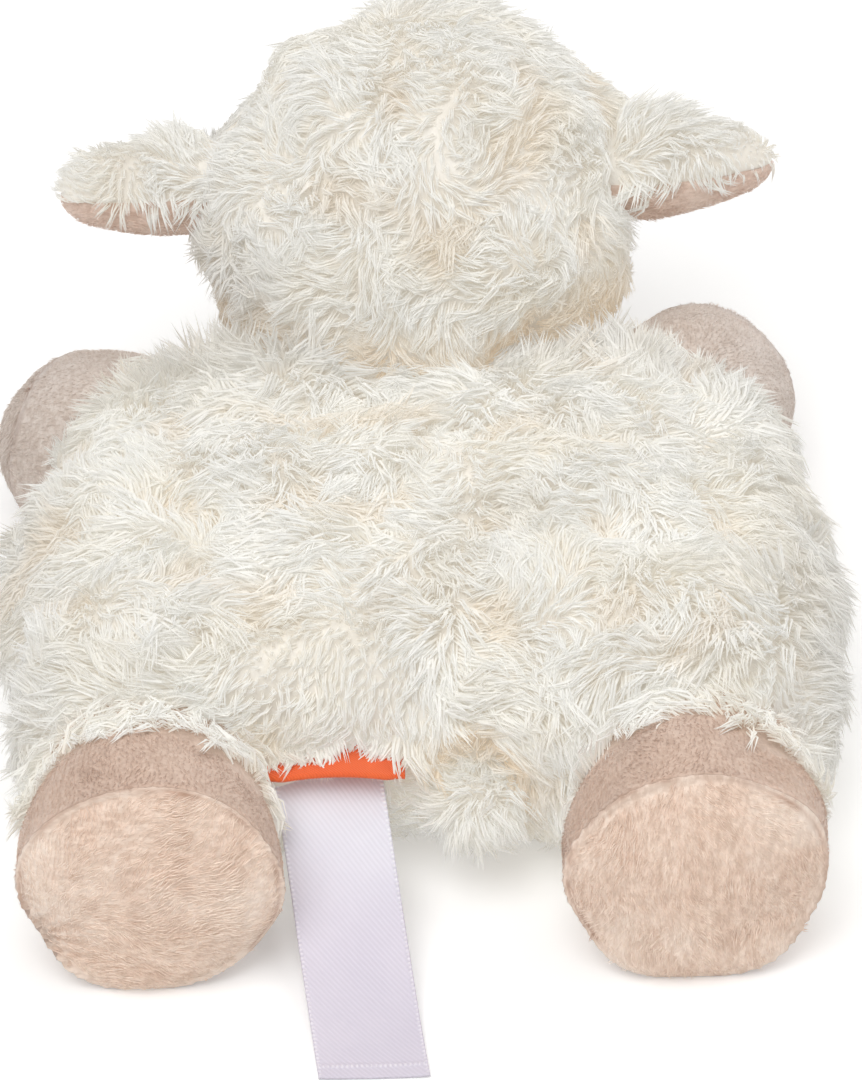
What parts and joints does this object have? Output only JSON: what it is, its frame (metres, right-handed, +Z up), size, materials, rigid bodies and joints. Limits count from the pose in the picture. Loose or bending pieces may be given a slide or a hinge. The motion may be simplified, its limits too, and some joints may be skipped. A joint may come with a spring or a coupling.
{
  "type": "plush sheep",
  "caption": "Soft plush sheep lying on its belly: long cream fur, short beige pile on face, ears and feet, and a head, ears, legs, tail, tab and label that swing at their seams.",
  "frame": {"origin": "middle of the flat of the belly, on the surface that the sheep lies on", "axes": "+X to the sheep's own left, +Y to its tail, +Z up; the face looks along -Y"},
  "size_m": [0.2379, 0.3529, 0.148],
  "materials": {
    "cream_fur": "long soft cream fur, tufted and swirled",
    "beige_pile": "short dense beige pile",
    "beige_sole": "short pinkish beige pile with combed streaks",
    "stuffing": "white fibre filling",
    "woven_tab": "woven orange ribbon",
    "satin_label": "white woven satin ribbon",
    "eye": "glossy dark brown",
    "washer": "plain white plastic",
    "thread": "brown satin stitch"
  },
  "bodies": {
    "body": {"back_left_panel": "cream_fur", "back_right_panel": "cream_fur", "belly_panel": "cream_fur", "body_stuffing": "stuffing"},
    "neck": {"neck_wad": "stuffing"},
    "head": {"head_hood": "cream_fur", "face_panel": "beige_pile", "head_stuffing": "stuffing", "eye_left": "eye", "eye_right": "eye", "eye_left_washer": "washer", "eye_right_washer": "washer", "nose": "thread", "mouth_stitches": "thread"},
    "ear_left": {"ear_left_back": "cream_fur", "ear_left_lining": "beige_pile"},
    "ear_right": {"ear_right_back": "cream_fur", "ear_right_lining": "beige_pile"},
    "foreleg_left": {"foreleg_left_sleeve": "beige_pile", "foreleg_left_sole": "beige_sole", "foreleg_left_stuffing": "stuffing"},
    "foreleg_right": {"foreleg_right_sleeve": "beige_pile", "foreleg_right_sole": "beige_sole", "foreleg_right_stuffing": "stuffing"},
    "hindleg_left": {"hindleg_left_sleeve": "beige_pile", "hindleg_left_sole": "beige_sole", "hindleg_left_stuffing": "stuffing"},
    "hindleg_right": {"hindleg_right_sleeve": "beige_pile", "hindleg_right_sole": "beige_sole", "hindleg_right_stuffing": "stuffing"},
    "tail": {"tail_skin": "cream_fur", "tail_stuffing": "stuffing"},
    "tab": {"seam_tab": "woven_tab"},
    "label": {"care_label": "satin_label"}
  },
  "joints": [
    {"name": "head_nod", "type": "hinge", "parent": "body", "child": "neck", "pos_m": [0, -0.10143, 0.07176], "axis": [1, 0, 0], "range_deg": [-12, 15], "stiffness_Nm_per_rad": 1.2},
    {"name": "head_turn", "type": "hinge", "parent": "neck", "child": "head", "pos_m": [0, -0.10143, 0.07176], "axis": [0, 0.7986, -0.6018], "range_deg": [-20, 20], "stiffness_Nm_per_rad": 0.8},
    {"name": "ear_left_flop", "type": "hinge", "parent": "head", "child": "ear_left", "pos_m": [0.0555, -0.117, 0.102], "axis": [0, 0.9613, 0.2756], "range_deg": [-20, 20], "stiffness_Nm_per_rad": 0.02},
    {"name": "ear_right_flop", "type": "hinge", "parent": "head", "child": "ear_right", "pos_m": [-0.0555, -0.117, 0.102], "axis": [0, -0.9613, -0.2756], "range_deg": [-20, 20], "stiffness_Nm_per_rad": 0.02},
    {"name": "foreleg_left_swing", "type": "hinge", "parent": "body", "child": "foreleg_left", "pos_m": [0.0605, -0.062, 0.0295], "axis": [0, 0, 1], "range_deg": [-10, 10], "stiffness_Nm_per_rad": 0.1},
    {"name": "foreleg_right_swing", "type": "hinge", "parent": "body", "child": "foreleg_right", "pos_m": [-0.0605, -0.062, 0.0295], "axis": [0, 0, 1], "range_deg": [-10, 10], "stiffness_Nm_per_rad": 0.1},
    {"name": "hindleg_left_lift", "type": "hinge", "parent": "body", "child": "hindleg_left", "pos_m": [0.0742, 0.078, 0.0347], "axis": [1, 0, 0], "range_deg": [-4, 22], "stiffness_Nm_per_rad": 0.2},
    {"name": "hindleg_right_lift", "type": "hinge", "parent": "body", "child": "hindleg_right", "pos_m": [-0.0742, 0.078, 0.0347], "axis": [1, 0, 0], "range_deg": [-4, 22], "stiffness_Nm_per_rad": 0.2},
    {"name": "tail_wag", "type": "hinge", "parent": "body", "child": "tail", "pos_m": [-0.015, 0.069, 0.034], "axis": [0, 0, 1], "range_deg": [-15, 15], "stiffness_Nm_per_rad": 0.01},
    {"name": "tab_flap", "type": "hinge", "parent": "body", "child": "tab", "pos_m": [0.024, 0.0732, 0.0424], "axis": [1, 0, 0], "range_deg": [-2, 30], "stiffness_Nm_per_rad": 0.005},
    {"name": "label_flap", "type": "hinge", "parent": "body", "child": "label", "pos_m": [0.0275, 0.0734, 0.037], "axis": [1, 0, 0], "range_deg": [0, 18], "stiffness_Nm_per_rad": 0.02}
  ]
}
